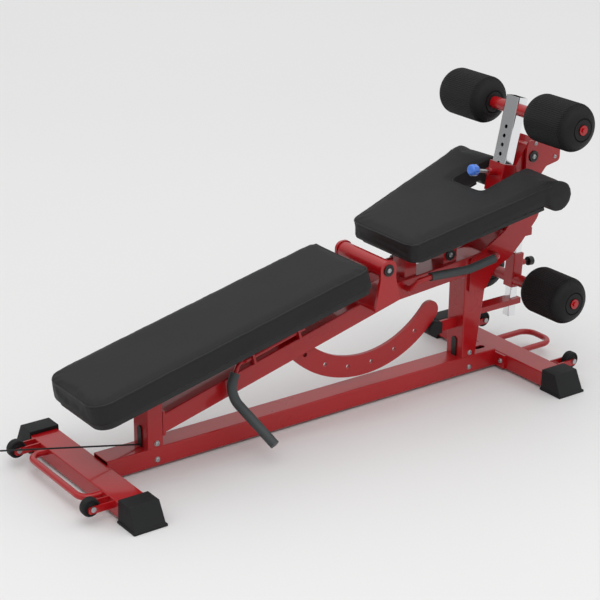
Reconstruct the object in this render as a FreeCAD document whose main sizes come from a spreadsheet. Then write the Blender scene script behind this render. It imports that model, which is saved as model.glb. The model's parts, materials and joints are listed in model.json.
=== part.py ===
"""Roman chair: a decline bench with a swinging backrest, leg rollers and transport wheels.

Millimetres.  +Z is up, +X runs from the head end to the leg end, and -Y is the near side.
Positions along X are written from the centre line of the front crossbar; at() moves them so
that the origin lies on the floor in the middle of the machine.
"""
import FreeCAD, Part
import math
import os
import Sketcher
from FreeCAD import Placement, Rotation, Vector

SIZES = {
    # base
    "base_run": 1580.0, "base_width": 710.0, "floor_gap": 8.0,
    "beam_width": 80.0, "beam_height": 60.0, "tube_wall": 3.0,
    "corner_radius": 4.0,
    "cross_width": 90.0, "cross_height": 50.0, "cross_insert": 45.0,
    "flange_thickness": 8.0, "flange_width": 170.0, "flange_height": 46.0,
    "foot_height": 70.0, "foot_rim": 8.0, "foot_length": 108.0, "foot_top_length": 96.0,
    "foot_depth": 95.0, "foot_top_depth": 61.0,
    # posts
    "front_post_x": 179.0, "front_post_depth": 54.0, "bumper_thickness": 13.0,
    "rear_post_x": 1380.0, "rear_post_lean": 0.131, "slot_width": 22.0, "slot_height": 66.0,
    # inclined beam, top beam, neck
    "incline_angle": 14.5, "incline_rise": 108.7, "joint_x": 1110.0,
    "top_beam_rise": 22.0, "neck_thickness": 8.0,
    # backrest
    "hinge_x": 998.0, "hinge_height": 480.0, "shaft_radius": 12.5, "barrel_radius": 28.0,
    "ear_thickness": 10.0, "ear_span": 236.0, "ear_radius": 30.0,
    "pad_angle": 13.0, "pad_setback": 77.7, "pad_above_hinge": 56.2,
    "back_length": 990.0, "back_width": 300.0, "back_foam": 68.0, "board_thickness": 17.0,
    "spine_width": 60.0, "spine_height": 40.0,
    "arc_hole_radius": 350.0, "arc_inner": 315.0, "arc_outer": 386.0, "arc_thickness": 12.0,
    "arc_hole_pitch": 15.4, "arc_hole_bore": 15.0, "arc_first_angle": 131.2, "arc_end_angle": 41.0,
    "guide_radius": 25.0, "lock_pin_radius": 7.0, "lock_travel": 16.0,
    # release lever
    "lever_radius": 7.0, "lever_grip_radius": 15.0, "lug_height": 38.0, "lug_thickness": 8.0,
    # seat
    "seat_angle": 15.1, "seat_x": 1048.0, "seat_height": 556.0, "seat_length": 534.0,
    "seat_front_width": 320.0, "seat_rear_width": 500.0, "seat_foam": 62.0, "seat_board": 12.0,
    "knee_radius": 50.0, "notch_start": 365.0, "notch_width": 150.0,
    # roller arm and upper rollers
    "pivot_x": 1641.0, "pivot_height": 718.0, "pivot_radius": 10.0, "boss_radius": 28.0,
    "post_tilt": 12.5, "axle_x": 1592.0, "axle_height": 874.0,
    "post_width": 60.0, "post_depth": 40.0, "post_above": 40.0, "post_below": 300.0,
    "post_hole_pitch": 30.0, "post_hole_radius": 6.5,
    "sleeve_top": 178.0, "sleeve_bottom": 275.0, "sleeve_wall": 5.5, "slide_gap": 0.5,
    "pin_radius": 6.0, "pin_travel": 12.0, "knob_reach": 112.0, "knob_radius": 19.0,
    "axle_radius": 12.5, "collar_radius": 20.0,
    "roller_radius": 70.0, "roller_start": 98.0, "upper_roller_end": 311.0,
    # guide post and roller carriage behind the rear post
    "guide_x": 1624.0, "guide_height": 288.0, "guide_tilt": 4.0, "guide_side": 30.0,
    "guide_above": 184.0, "guide_below": 130.0, "guide_hole_radius": 5.5,
    "carriage_above": 90.0, "carriage_below": 26.0, "carriage_wall": 5.5,
    "lower_roller_end": 293.0, "lower_pin_radius": 5.0, "lower_knob_radius": 15.0,
    # transport wheels and tow handles
    "wheel_reach": 115.0, "wheel_side": 220.0, "wheel_height": 52.0, "wheel_radius": 27.5,
    "wheel_width": 24.0, "wheel_bolt_radius": 5.0, "bracket_thickness": 5.0,
    "tow_radius": 10.0, "front_tow_reach": 105.0, "front_tow_half": 160.0,
    "front_tow_bend": 34.0, "rear_tow_bend": 42.0,
    "rear_tow_reach": 185.0, "rear_tow_half": 62.0, "tow_height": 46.0,
    # grab handles
    "grab_radius": 9.0, "grab_grip_radius": 14.0, "grab_side": 97.0,
    # cord
    "cord_radius": 2.5, "cord_exit": 73.0, "cord_reach": 475.0, "cord_slope": 13.1,
}
RUN = 0.05      # radial running clearance of a shaft in its bore
GAP = 0.5       # least gap between pieces that only pass each other

NODES = []
doc = FreeCAD.newDocument("RomanChair")
sheet = doc.addObject("Spreadsheet::Sheet", "Sizes")


class Values:
    """The driving dimensions by name, read in code."""


size = Values()
for row, (alias, value) in enumerate(SIZES.items(), start=1):
    sheet.set("A%d" % row, alias)
    sheet.set("B%d" % row, str(value))
    sheet.setAlias("B%d" % row, alias)
    setattr(size, alias, value)
doc.recompute()

FRONT_END = -(size.wheel_reach + size.wheel_radius)
REAR_END = size.base_run + size.rear_tow_reach + size.tow_radius
SHIFT = -(FRONT_END + REAR_END) / 2.0


# ---------------------------------------------------------------- frames and small helpers
def at(x, y, z):
    return Vector(x + SHIFT, y, z)


def place(origin, x_axis=Vector(1, 0, 0), z_axis=Vector(0, 0, 1)):
    """A placement whose local X and Z lie along the given directions."""
    return Placement(origin, Rotation(x_axis, z_axis.cross(x_axis), z_axis, "ZXY"))


X, Y, Z = Vector(1, 0, 0), Vector(0, 1, 0), Vector(0, 0, 1)


def tilted(degrees):
    """Unit vector in the XZ plane, the given angle above +X."""
    return Vector(math.cos(math.radians(degrees)), 0, math.sin(math.radians(degrees)))


def bind(thing, **expressions):
    """Set properties of a document object by expression; 'Sizes.' is put before each alias."""
    for name, text in expressions.items():
        thing.setExpression(name.replace("__", "."), text)
    return thing


def fresh(kind, name):
    return doc.addObject(kind, name)


def keep(label, thing):
    """Record a finished sub-part under the name of its node."""
    thing.Label = label
    NODES.append(thing)
    return thing


# ---------------------------------------------------------------- sketches
def new_sketch(body, name):
    sketch = body.newObject("Sketcher::SketchObject", name)
    plane = [f for f in body.Origin.OriginFeatures if f.Role == "XY_Plane"][0]
    sketch.AttachmentSupport = [(plane, "")]
    sketch.MapMode = "FlatFace"
    return sketch


def rectangle(sketch, width, height, tag):
    """A rectangle about the sketch's origin; width and height are expressions."""
    first = sketch.GeometryCount
    corners = [Vector(-1, -1, 0), Vector(1, -1, 0), Vector(1, 1, 0), Vector(-1, 1, 0)]
    if tag == "outer":
        corners = [2 * corner for corner in corners]
    for index in range(4):
        sketch.addGeometry(Part.LineSegment(corners[index], corners[(index + 1) % 4]), False)
    for index in range(4):
        sketch.addConstraint(Sketcher.Constraint(
            "Coincident", first + index, 2, first + (index + 1) % 4, 1))
    for index, kind in enumerate(("Horizontal", "Vertical", "Horizontal", "Vertical")):
        sketch.addConstraint(Sketcher.Constraint(kind, first + index))
    sketch.addConstraint(Sketcher.Constraint("Symmetric", first, 1, first + 1, 2, -1, 1))
    for name, kind, edge, text in (("wide", "DistanceX", first, width),
                                   ("tall", "DistanceY", first + 1, height)):
        number = sketch.addConstraint(Sketcher.Constraint(kind, edge, 1, edge, 2, 10.0))
        sketch.renameConstraint(number, tag + "_" + name)
        sketch.setExpression("Constraints." + tag + "_" + name, text)


def rounded(corners):
    """Closed outline through (x, y, radius) corners: straight edges and tangent arcs."""
    count = len(corners)
    starts, ends, middles = [], [], []
    for index, (x, y, radius) in enumerate(corners):
        here = Vector(x, y, 0)
        before = Vector(*corners[index - 1][:2], 0) - here
        after = Vector(*corners[(index + 1) % count][:2], 0) - here
        before.normalize()
        after.normalize()
        half = math.acos(max(-1.0, min(1.0, before.dot(after)))) / 2.0
        if radius <= 0 or abs(half - math.pi / 2) < 1e-6:
            starts.append(here)
            ends.append(here)
            middles.append(None)
            continue
        reach = radius / math.tan(half)
        centre = here + (before + after).normalize() * (radius / math.sin(half))
        starts.append(here + before * reach)
        ends.append(here + after * reach)
        middles.append(centre + (here - centre).normalize() * radius)
    edges = []
    for index in range(count):
        if middles[index] is not None:
            edges.append(Part.Arc(starts[index], middles[index], ends[index]))
        following = starts[(index + 1) % count]
        if (following - ends[index]).Length > 1e-6:
            edges.append(Part.LineSegment(ends[index], following))
    return edges


def circle(x, y, radius):
    return Part.Circle(Vector(x, y, 0), Vector(0, 0, 1), radius)


def pad(name, outline, length, placement, both_ways=True):
    """A body padded from an outline in its own XY plane by an expression's length."""
    body = fresh("PartDesign::Body", name)
    sketch = new_sketch(body, name + "_outline")
    for edge in outline:
        sketch.addGeometry(edge, False)
    feature = body.newObject("PartDesign::Pad", name + "_pad")
    feature.Profile = sketch
    if both_ways:
        feature.SideType = "Symmetric"
    feature.setExpression("Length", length)
    body.Placement = placement
    return body


def soften(body, feature, chosen):
    """Round the chosen edges of a body's feature with the tubes' corner radius."""
    doc.recompute()
    names = ["Edge%d" % (index + 1) for index, edge in enumerate(feature.Shape.Edges)
             if chosen(edge)]
    rounding = body.newObject("PartDesign::Fillet", feature.Name + "_corners")
    rounding.Base = (feature, names)
    rounding.setExpression("Radius", "Sizes.corner_radius")
    return body


def tube(name, width, height, length, placement, wall="Sizes.tube_wall"):
    """A rectangular tube along its own +Z; width is along local X and height along local Y."""
    body = fresh("PartDesign::Body", name)
    sketch = new_sketch(body, name + "_section")
    rectangle(sketch, width, height, "outer")
    rectangle(sketch, width + " - 2 * " + wall, height + " - 2 * " + wall, "inner")
    feature = body.newObject("PartDesign::Pad", name + "_pad")
    feature.Profile = sketch
    feature.setExpression("Length", length)

    def outer_corner(edge):
        start, end = edge.Vertexes[0].Point, edge.Vertexes[-1].Point
        box = feature.Shape.BoundBox
        along = abs(start.z - end.z) > 1
        return along and abs(abs(start.x) - box.XMax) < 0.01 and abs(abs(start.y) - box.YMax) < 0.01

    soften(body, feature, outer_corner)
    body.Placement = placement
    return body


def revolve(name, profile, placement):
    """A body turned about its own Y axis from a profile in its XY plane."""
    body = fresh("PartDesign::Body", name)
    sketch = new_sketch(body, name + "_profile")
    for edge in profile:
        sketch.addGeometry(edge, False)
    feature = body.newObject("PartDesign::Revolution", name + "_turn")
    feature.Profile = sketch
    feature.ReferenceAxis = (sketch, ["V_Axis"])
    feature.Angle = 360.0
    body.Placement = placement
    return body


def side_place(x, z, y=0.0):
    """Local X is +X, local Y is +Z, and a one-sided pad grows towards -Y."""
    return place(at(x, y, z), X, Y * -1)


# ---------------------------------------------------------------- primitives and booleans
def block(name, low, length, width, height, placement=None):
    """A box from its low corner; the three sizes are expressions or numbers."""
    thing = fresh("Part::Box", name)
    for prop, value in (("Length", length), ("Width", width), ("Height", height)):
        if isinstance(value, str):
            thing.setExpression(prop, value)
        else:
            setattr(thing, prop, value)
    thing.Placement = placement if placement else Placement(low, Rotation())
    return thing


def rod(name, centre, direction, radius, length):
    """A cylinder from centre along direction; radius and length are expressions or numbers."""
    thing = fresh("Part::Cylinder", name)
    for prop, value in (("Radius", radius), ("Height", length)):
        if isinstance(value, str):
            thing.setExpression(prop, value)
        else:
            setattr(thing, prop, value)
    thing.Placement = Placement(centre, Rotation(Vector(0, 0, 1), direction))
    return thing


def fuse(name, parts):
    thing = fresh("Part::MultiFuse", name)
    thing.Shapes = parts
    return thing


def cut(name, base, tools):
    thing = fresh("Part::Cut", name)
    thing.Base = base
    thing.Tool = tools[0] if len(tools) == 1 else fuse(name + "_tools", tools)
    return thing


def solid(name, shape):
    thing = fresh("Part::Feature", name)
    thing.Shape = shape
    return thing


def group(name, parts):
    thing = fresh("Part::Compound", name)
    thing.Links = parts
    return thing


def path(points, radii):
    """An open wire through the points, with a tangent arc of the given radius at each bend."""
    edges = []
    start = points[0]
    for index, radius in enumerate(radii, start=1):
        corner = points[index]
        back = (points[index - 1] - corner).normalize()
        ahead = (points[index + 1] - corner).normalize()
        half = math.acos(back.dot(ahead)) / 2.0
        reach = radius / math.tan(half)
        centre = corner + (back + ahead).normalize() * (radius / math.sin(half))
        middle = centre + (corner - centre).normalize() * radius
        edges.append(Part.LineSegment(start, corner + back * reach).toShape())
        edges.append(Part.Arc(corner + back * reach, middle, corner + ahead * reach).toShape())
        start = corner + ahead * reach
    edges.append(Part.LineSegment(start, points[-1]).toShape())
    return Part.Wire(edges)


def bar(points, radii, radius):
    """A round bar swept along a path."""
    spine = path(points, radii)
    direction = points[1] - points[0]
    ring = Part.Wire([Part.makeCircle(radius, points[0], direction)])
    return spine.makePipeShell([ring], True, False)


# ---------------------------------------------------------------- lines that several pieces share
BEAM_TOP = size.floor_gap + size.beam_height
INCLINE_SLOPE = math.tan(math.radians(size.incline_angle))
INCLINE_DROP = size.beam_height / math.cos(math.radians(size.incline_angle))
FRONT_POST_REAR = size.front_post_x + size.front_post_depth
FLANGE_REAR = FRONT_POST_REAR + size.flange_thickness
HINGE = at(size.hinge_x, 0, size.hinge_height)
ALONG_INCLINE = tilted(size.incline_angle)
ALONG_BACK = tilted(size.pad_angle)
ABOVE_BACK = tilted(size.pad_angle + 90)
BACK_TOTAL = size.back_foam + size.board_thickness


def incline_low(x):
    return size.incline_rise + (x - FLANGE_REAR) * INCLINE_SLOPE


def incline_top(x):
    return incline_low(x) + INCLINE_DROP


def back_point(along, below):
    """(x, z) of a point on the backrest: along from its front end, below its top face."""
    start = size.back_length + size.pad_setback
    offset = ALONG_BACK * (along - start) + ABOVE_BACK * (size.pad_above_hinge - below)
    return size.hinge_x + offset.x, size.hinge_height + offset.z


def back_height(x, below):
    """Height at x of the line that lies the given depth under the backrest's top face."""
    start_x, start_z = back_point(0, below)
    return start_z + (x - start_x) * math.tan(math.radians(size.pad_angle))


def top_beam_low(x):
    share = (x - size.joint_x) / (size.rear_post_x - size.joint_x)
    return incline_low(size.joint_x) + share * size.top_beam_rise


def top_beam_top(x):
    return top_beam_low(x) + INCLINE_DROP


def rear_post_back(z):
    """X of the rear post's leaning rear face, up to where it bends."""
    return size.rear_post_x + 57 + (z - BEAM_TOP) * size.rear_post_lean


def box_section(name, corners):
    """A closed box beam with the given (x, z) outline, as wide as the beams."""
    outer = pad(name + "_outer", rounded([(x, z, 0) for x, z in corners]), "Sizes.beam_width",
                side_place(0, 0))
    wire = Part.Wire([edge.toShape() for edge in rounded([(x, z, 0) for x, z in corners])])
    inset = wire.makeOffset2D(-size.tube_wall, 2, False, False)
    points = [(vertex.X, vertex.Y, 0) for vertex in inset.OrderedVertexes]
    inner = pad(name + "_inner", rounded(points), "Sizes.beam_width - 2 * Sizes.tube_wall",
                side_place(0, 0))
    shortest = size.beam_height * 0.95

    def long_edge(edge):
        start, end = edge.Vertexes[0].Point, edge.Vertexes[-1].Point
        return abs(start.z - end.z) < 0.01 and edge.Length > shortest and \
            abs((end - start).normalize().x) > 0.01 or chosen_upright(edge)

    def chosen_upright(edge):
        start, end = edge.Vertexes[0].Point, edge.Vertexes[-1].Point
        return abs(start.z - end.z) < 0.01 and edge.Length > 2 * size.beam_height
    soften(outer, outer.Tip, long_edge)
    return cut(name + "_box", outer, [inner])


# ---------------------------------------------------------------- base
def base():
    length = "Sizes.base_run - Sizes.cross_width - Sizes.flange_thickness"
    middle = size.floor_gap + size.beam_height / 2
    beam = tube("base_tube", "Sizes.beam_width", "Sizes.beam_height", length,
                place(at(size.cross_width / 2, 0, middle), Y, X))
    flange_x = size.base_run - size.cross_width / 2 - size.flange_thickness
    flange = block("base_flange", at(flange_x, -size.flange_width / 2, size.floor_gap + 2),
                   "Sizes.flange_thickness", "Sizes.flange_width", "Sizes.flange_height")
    oval = pad("base_oval", rounded([(-22, -11, 10.9), (22, -11, 10.9), (22, 11, 10.9),
                                     (-22, 11, 10.9)]),
               "4 * Sizes.tube_wall", place(at(flange_x - 38, 0, BEAM_TOP), X, Z))
    keep("base_beam", cut("base_beam_cut", fuse("base_weld", [beam, flange]), [oval]))

    arms = []
    for end, x, outward in (("front", 0.0, -1), ("rear", size.base_run, 1)):
        crossbar(end + "_crossbar", x)
        arms.extend(wheel_arms(end, x, outward))
        for side, sign in (("near", -1), ("far", 1)):
            foot("foot_%s_%s" % (end, side), x, sign)
    keep("wheel_arms", group("wheel_arm_group", arms))


def crossbar(label, x):
    """A crossbar tube whose ends sit in the feet."""
    start = -(size.base_width / 2 - size.foot_depth + size.cross_insert)
    length = "Sizes.base_width - 2 * Sizes.foot_depth + 2 * Sizes.cross_insert"
    keep(label, tube(label + "_tube", "Sizes.cross_height", "Sizes.cross_width", length,
                     place(at(x, start, size.floor_gap + size.cross_height / 2), Z, Y)))


def wheel_arms(end, x, outward):
    """The forks that carry an end's wheels: two cheeks each, welded to the crossbar."""
    face = x + outward * size.cross_width / 2
    axle = x + outward * size.wheel_reach
    outline = sorted_box(face, axle + outward * 13, size.wheel_height - 15,
                         size.floor_gap + size.cross_height, 8)
    offset = size.wheel_width / 2 + size.bracket_thickness / 2 + 2
    edges = rounded(outline) + [circle(axle, size.wheel_height, size.wheel_bolt_radius)]
    return [pad("%s_arm_%d_%d" % (end, sign, cheek), edges,
                "Sizes.bracket_thickness",
                side_place(0, 0, sign * size.wheel_side + cheek * offset))
            for sign in (-1, 1) for cheek in (-1, 1)]


def sorted_box(x_one, x_two, z_low, z_high, radius):
    """Corners of an upright rectangle that is square at x_one and rounded at x_two."""
    low, high = (x_one, x_two) if x_one < x_two else (x_two, x_one)
    at_low, at_high = (0, radius) if x_one < x_two else (radius, 0)
    return [(low, z_low, at_low), (high, z_low, at_high), (high, z_high, at_high),
            (low, z_high, at_low)]


def foot(label, x, side):
    """A tapered rubber cap over a crossbar's end, with a wider rim on the floor."""
    inner = side * (size.base_width / 2 - size.foot_depth)
    frame = place(at(x, inner, size.foot_rim), X * side, Y * -side)
    cap = bind(fresh("Part::Wedge", label + "_cap"),
               Xmin="-Sizes.foot_length / 2 + 4", Xmax="Sizes.foot_length / 2 - 4",
               Ymax="Sizes.foot_height - Sizes.foot_rim",
               X2min="-Sizes.foot_top_length / 2", X2max="Sizes.foot_top_length / 2",
               Zmin="-Sizes.foot_depth + 4", Z2min="-Sizes.foot_top_depth")
    cap.Ymin = 0
    cap.Zmax = 0
    cap.Z2max = 0
    cap.Placement = frame
    outer = side * size.base_width / 2
    rim = block(label + "_rim", at(x - size.foot_length / 2, min(inner, outer), 0),
                "Sizes.foot_length", "Sizes.foot_depth", "Sizes.foot_rim")
    reach = size.cross_insert
    pocket = block(label + "_pocket",
                   at(x - size.cross_width / 2, min(inner, inner + side * reach), size.floor_gap),
                   "Sizes.cross_width", "Sizes.cross_insert", "Sizes.cross_height")
    keep(label, cut(label + "_cut", fuse(label + "_body", [cap, rim]), [pocket]))


# ---------------------------------------------------------------- posts
def slot_outline(extra):
    """A slot with a round top, from the foot of a post up, in (y, z)."""
    half = size.slot_width / 2 + extra
    return rounded([(-half, 0, 0), (half, 0, 0), (half, size.slot_height, half - 0.01),
                    (-half, size.slot_height, half - 0.01)])


def slot_place(x):
    """Local X is -Y, local Y is +Z and the pad grows towards -X."""
    return place(at(x, 0, BEAM_TOP), Y * -1, X * -1)


def posts():
    depth = 4 * size.tube_wall
    post = tube("front_tube", "Sizes.front_post_depth", "Sizes.beam_width",
                "Sizes.hinge_height", place(at(size.front_post_x + size.front_post_depth / 2, 0,
                                               BEAM_TOP)))
    below = BACK_TOTAL + GAP + size.bumper_thickness
    low = back_height(size.front_post_x - 50, below)
    high = back_height(FRONT_POST_REAR + 50, below)
    slope = pad("front_slope", rounded([(size.front_post_x - 50, low, 0),
                                        (FRONT_POST_REAR + 50, high, 0),
                                        (FRONT_POST_REAR + 50, 2 * size.hinge_height, 0),
                                        (size.front_post_x - 50, 2 * size.hinge_height, 0)]),
                "2 * Sizes.beam_width", side_place(0, 0))
    slot = pad("front_slot", slot_outline(0), str(2 * depth), slot_place(size.front_post_x))
    keep("front_post", cut("front_post_cut", post, [slope, slot]))

    front = size.front_post_x - 2
    rear = FRONT_POST_REAR + 2
    bumper = [(front, back_height(front, below), 0), (rear, back_height(rear, below), 0),
              (rear, back_height(rear, BACK_TOTAL + GAP), 4),
              (front, back_height(front, BACK_TOTAL + GAP), 4)]
    keep("front_bumper", pad("bumper", rounded(bumper), "Sizes.beam_width + 4",
                             side_place(0, 0)))
    insert("cord_outlet", size.front_post_x)
    insert("rear_post_insert", size.rear_post_x)

    lower = [(size.rear_post_x, BEAM_TOP), (rear_post_back(BEAM_TOP), BEAM_TOP),
             (rear_post_back(335), 335), (size.rear_post_x + 120, 400),
             (size.rear_post_x + 66, top_beam_top(size.rear_post_x) + 8),
             (size.rear_post_x, top_beam_top(size.rear_post_x))]
    post = box_section("rear_post", lower)
    slot = pad("rear_slot", slot_outline(0), str(2 * depth), slot_place(size.rear_post_x))
    keep("rear_post", cut("rear_post_cut", post, [slot]))


def insert(label, post_x):
    """The black block that fills a post's slot."""
    body = pad(label + "_body", slot_outline(0), "3 * Sizes.tube_wall", slot_place(
        post_x + 1.5 * size.tube_wall - 4), both_ways=True)
    keep(label, body)


def guide_centre():
    """Centre of the rubber guide that touches the index plate's outer edge."""
    reach = size.arc_outer + GAP + size.guide_radius
    return HINGE + tilted(-45.8) * reach


# ---------------------------------------------------------------- inclined beam, top beam, neck
def beams():
    front, rear = FLANGE_REAR, size.joint_x
    beam = box_section("incline", [(front, incline_low(front)), (rear, incline_low(rear)),
                                   (rear, incline_top(rear)), (front, incline_top(front))])
    flange = block("incline_flange", at(FRONT_POST_REAR, -size.beam_width / 2,
                                        incline_low(front) - 8),
                   "Sizes.flange_thickness", "Sizes.beam_width", INCLINE_DROP + 16)
    ring = cut("index_slot", rod("index_slot_outer", HINGE - Y * (size.arc_thickness / 2 + 2), Y,
                                 "Sizes.arc_outer + 4", "Sizes.arc_thickness + 4"),
               [rod("index_slot_inner", HINGE - Y * size.arc_thickness, Y,
                    "Sizes.arc_inner - 4", "2 * Sizes.arc_thickness")])
    keep("incline_beam", cut("incline_cut", fuse("incline_weld", [beam, flange]), [ring]))

    front, rear = size.joint_x, size.rear_post_x
    keep("top_beam", box_section("top", [(front, top_beam_low(front)), (rear, top_beam_low(rear)),
                                         (rear, top_beam_top(rear)),
                                         (front, top_beam_top(front))]))

    foot_x = size.rear_post_x
    pivot_x, pivot_z = size.pivot_x, size.pivot_height
    outline = [(foot_x + 12, 300, 6), (foot_x + 83, 300, 6), (foot_x + 118, 360, 60),
               (foot_x + 184, 388, 60), (foot_x + 231, 431, 60), (foot_x + 300, 508, 60),
               (foot_x + 306, 560, 60), (pivot_x + 40, pivot_z - 65, 12),
               (pivot_x + 60, pivot_z - 43, 14), (pivot_x + 118, pivot_z - 32, 14),
               (pivot_x + 118, pivot_z + 14, 10), (pivot_x + 28, pivot_z + 51, 16),
               (pivot_x - 20, pivot_z + 54, 14), (pivot_x - 30, pivot_z + 30, 10),
               (pivot_x - 30, 600, 50), (pivot_x - 50, 545, 60), (foot_x + 153, 481, 60),
               (foot_x + 60, 430, 40), (foot_x + 12, 412, 10)]
    for side, sign in (("near", -1), ("far", 1)):
        y = sign * (size.beam_width + size.neck_thickness) / 2
        edges = rounded(outline) + [circle(pivot_x, pivot_z, size.pivot_radius)]
        keep("neck_plate_" + side, pad("neck_" + side, edges, "Sizes.neck_thickness",
                                       side_place(0, 0, y)))


# ---------------------------------------------------------------- hinge and backrest
def hinge():
    hinge_x, hinge_z = size.hinge_x, size.hinge_height
    base_front, base_rear = hinge_x - 48, hinge_x + 48
    plate = 10
    base = pad("hinge_base", rounded([(base_front, incline_top(base_front), 0),
                                      (base_rear, incline_top(base_rear), 0),
                                      (base_rear, incline_top(base_rear) + plate, 0),
                                      (base_front, incline_top(base_front) + plate, 0)]),
               "Sizes.ear_span", side_place(0, 0))
    parts = [base]
    radius = size.ear_radius
    for sign in (-1, 1):
        y = sign * (size.ear_span - size.ear_thickness) / 2
        outline = [(base_front, incline_top(base_front), 0),
                   (base_rear, incline_top(base_rear), 0),
                   (hinge_x + radius, hinge_z - 30, 20), (hinge_x + radius, hinge_z + radius, 24),
                   (hinge_x - radius, hinge_z + radius, 24), (hinge_x - radius, hinge_z - 30, 20)]
        edges = rounded(outline) + [circle(hinge_x, hinge_z, size.shaft_radius)]
        parts.append(pad("hinge_ear%d" % sign, edges, "Sizes.ear_thickness",
                         side_place(0, 0, y)))
    keep("hinge_bracket", fuse("hinge_weld", parts))
    keep("hinge_shaft", rod("shaft", HINGE - Y * (size.ear_span / 2), Y, "Sizes.shaft_radius",
                            "Sizes.ear_span"))


def backrest():
    inside = size.ear_span - 2 * size.ear_thickness - 2
    barrel = rod("barrel", HINGE - Y * (inside / 2), Y, "Sizes.barrel_radius",
                 "Sizes.ear_span - 2 * Sizes.ear_thickness - 2")
    end = size.back_length + size.pad_setback + 22
    spine_top, spine_low = BACK_TOTAL, BACK_TOTAL + size.spine_height
    spine_front = 300.0
    start_x, start_z = back_point(spine_front, (spine_top + spine_low) / 2)
    spine = tube("spine_tube", "Sizes.spine_width", "Sizes.spine_height", str(end - spine_front),
                 place(at(start_x, 0, start_z), Y, ALONG_BACK))
    riser_x, riser_z = back_point(size.back_length + size.pad_setback - 24, spine_top + 6)
    riser = block("spine_riser", None, 44, "Sizes.spine_width - 2 * Sizes.tube_wall", 34,
                  place(at(riser_x, -size.spine_width / 2 + size.tube_wall, riser_z),
                        ALONG_BACK, ABOVE_BACK))
    bore = rod("barrel_bore", HINGE - Y * inside, Y, "Sizes.shaft_radius + %s" % RUN, 2 * inside)
    keep("backrest_spine", cut("spine_cut", fuse("spine_weld", [barrel, spine, riser]), [bore]))

    keep("index_plate", index_plate(spine_low))

    half = size.back_width / 2
    board_x, board_z = back_point(0, BACK_TOTAL - size.board_thickness / 2)
    board = [(12, -half + 10, 50), (size.back_length - 8, -half + 10, 25),
             (size.back_length - 8, half - 10, 25), (12, half - 10, 50)]
    keep("back_board", pad("back_board_body", rounded(board), "Sizes.board_thickness",
                           place(at(board_x, 0, board_z), ALONG_BACK, ABOVE_BACK)))
    pad_x, pad_z = back_point(0, size.back_foam / 2)
    cushion = [(0, -half, 60), (size.back_length, -half, 30), (size.back_length, half, 30),
               (0, half, 60)]
    keep("back_pad", pad("back_pad_body", rounded(cushion), "Sizes.back_foam",
                         place(at(pad_x, 0, pad_z), ALONG_BACK, ABOVE_BACK)))


def index_plate(spine_low):
    """A curved plate about the hinge, from under the spine to a free round end."""
    below = spine_low - size.pad_above_hinge
    tilt = math.radians(size.pad_angle)

    def on_spine(radius):
        angle = math.pi + tilt + math.asin(below / radius)
        return angle

    def point(radius, angle):
        return Vector(radius * math.cos(angle), radius * math.sin(angle), 0)

    inner, outer = size.arc_inner, size.arc_outer
    last = math.radians(-size.arc_end_angle)
    middle = (inner + outer) / 2
    tip = (outer - inner) / 2
    inner_start, outer_start = on_spine(inner), on_spine(outer)
    tip_point = point(middle, last) + Vector(-math.sin(last), math.cos(last), 0) * tip
    full = 2 * math.pi
    edges = [Part.Arc(point(outer, outer_start), point(outer, (outer_start + last + full) / 2),
                      point(outer, last)),
             Part.Arc(point(outer, last), tip_point, point(inner, last)),
             Part.Arc(point(inner, last), point(inner, (inner_start + last + full) / 2),
                      point(inner, inner_start)),
             Part.LineSegment(point(inner, inner_start), point(outer, outer_start))]
    for number in range(6):
        angle = math.radians(-size.arc_first_angle + number * size.arc_hole_pitch)
        hole = point(size.arc_hole_radius, angle)
        edges.append(circle(hole.x, hole.y, size.arc_hole_bore / 2))
    return pad("index_body", edges, "Sizes.arc_thickness",
               side_place(size.hinge_x, size.hinge_height))


# ---------------------------------------------------------------- index lock and its lever
def lock():
    centre = HINGE + tilted(-size.arc_first_angle) * size.arc_hole_radius
    x, z = centre.x - SHIFT, centre.z
    thick = 28.0
    near_face = size.arc_thickness / 2 + 4
    outline = [(x - 15, z - 15, 14.9), (x + 15, z - 15, 14.9), (x + 15, incline_low(x + 15), 0),
               (x - 15, incline_low(x - 15), 0)]
    edges = rounded(outline) + [circle(x, z, size.lock_pin_radius + RUN)]
    keep("lock_housing", pad("lock_block", edges, str(thick),
                             side_place(0, 0, near_face + thick / 2)))
    tip = size.arc_thickness / 2 + 1
    shank = rod("lock_shank", Vector(centre.x, tip, z), Y, "Sizes.lock_pin_radius", 53)
    head = rod("lock_head", Vector(centre.x, tip + 53, z), Y, 13, 8)
    keep("lock_pin", fuse("lock_pin_turned", [shank, head]))


def lever():
    above, side = 22.0, -36.0

    def over(x):
        return at(x, side, incline_top(x) + above)

    points = [over(740), over(524), at(484, -62, 278), at(450, -70, 214), at(462, -76, 166),
              at(506, -210, 70)]
    rod_shape = bar(points, [14, 20, 60, 40], size.lever_radius)
    keep("release_lever", solid("lever_bar", rod_shape))

    grip_start = points[2] + (points[3] - points[2]) * 0.42
    grip_points = [grip_start] + points[3:]
    end = (points[5] - points[4]).normalize()
    closing = Part.makeCylinder(size.lever_grip_radius, 8, points[5], end)
    outer = bar(grip_points, [60, 40], size.lever_grip_radius).fuse(closing)
    keep("release_grip", solid("lever_grip", outer.cut(rod_shape)))

    lugs = []
    for x in (551.0, 716.0):
        foot_z = incline_top(x)
        frame = place(at(x, -50, foot_z), ALONG_INCLINE, ALONG_INCLINE.cross(Y))
        plate = block("lug%d" % x, None, "Sizes.lug_thickness", 30, "Sizes.lug_height", frame)
        top = over(x)
        bore = rod("lug_bore%d" % x, top - ALONG_INCLINE * 30, ALONG_INCLINE,
                   "Sizes.lever_radius + %s" % RUN, 60)
        lugs.append(cut("lug_cut%d" % x, plate, [bore]))
    keep("lever_lugs", group("lug_pair", lugs))


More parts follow.
